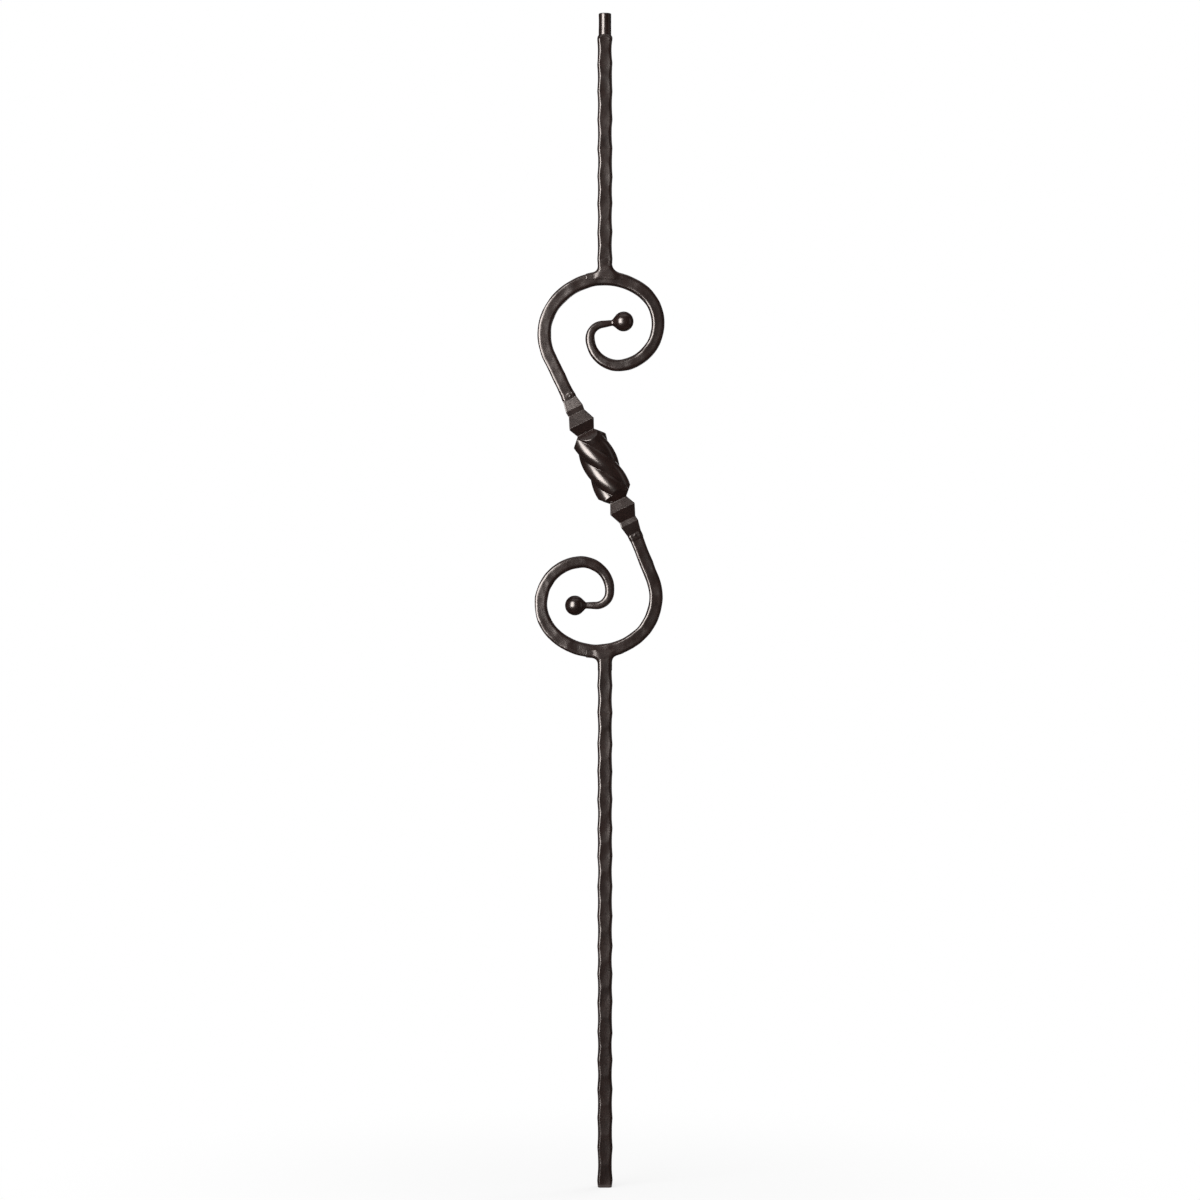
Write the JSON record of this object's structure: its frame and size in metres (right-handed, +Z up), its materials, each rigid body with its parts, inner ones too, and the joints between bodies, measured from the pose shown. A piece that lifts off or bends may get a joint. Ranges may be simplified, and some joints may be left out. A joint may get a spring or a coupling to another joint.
{
  "type": "iron stair baluster",
  "caption": "Forged iron stair baluster: hammered bars joined by an S of scrolls and balls about a leaning twisted knuckle, with a round tenon on top and a pinned foot.",
  "frame": {"origin": "middle of the bar's bottom end, on the bar line", "axes": "+Z up along the bar line, front towards -Y, scrolls in the XZ plane"},
  "size_m": [0.1244, 0.0346, 1.118],
  "materials": {
    "iron": "satin powder coat",
    "weld": "satin powder coat over ground weld"
  },
  "bodies": {
    "root": {"upper_bar": "iron", "lower_bar": "iron", "upper_scroll": "iron", "lower_scroll": "iron", "knuckle": "iron", "upper_bar_weld": "weld", "lower_bar_weld": "weld", "upper_knuckle_weld": "weld", "lower_knuckle_weld": "weld"}
  },
  "joints": []
}
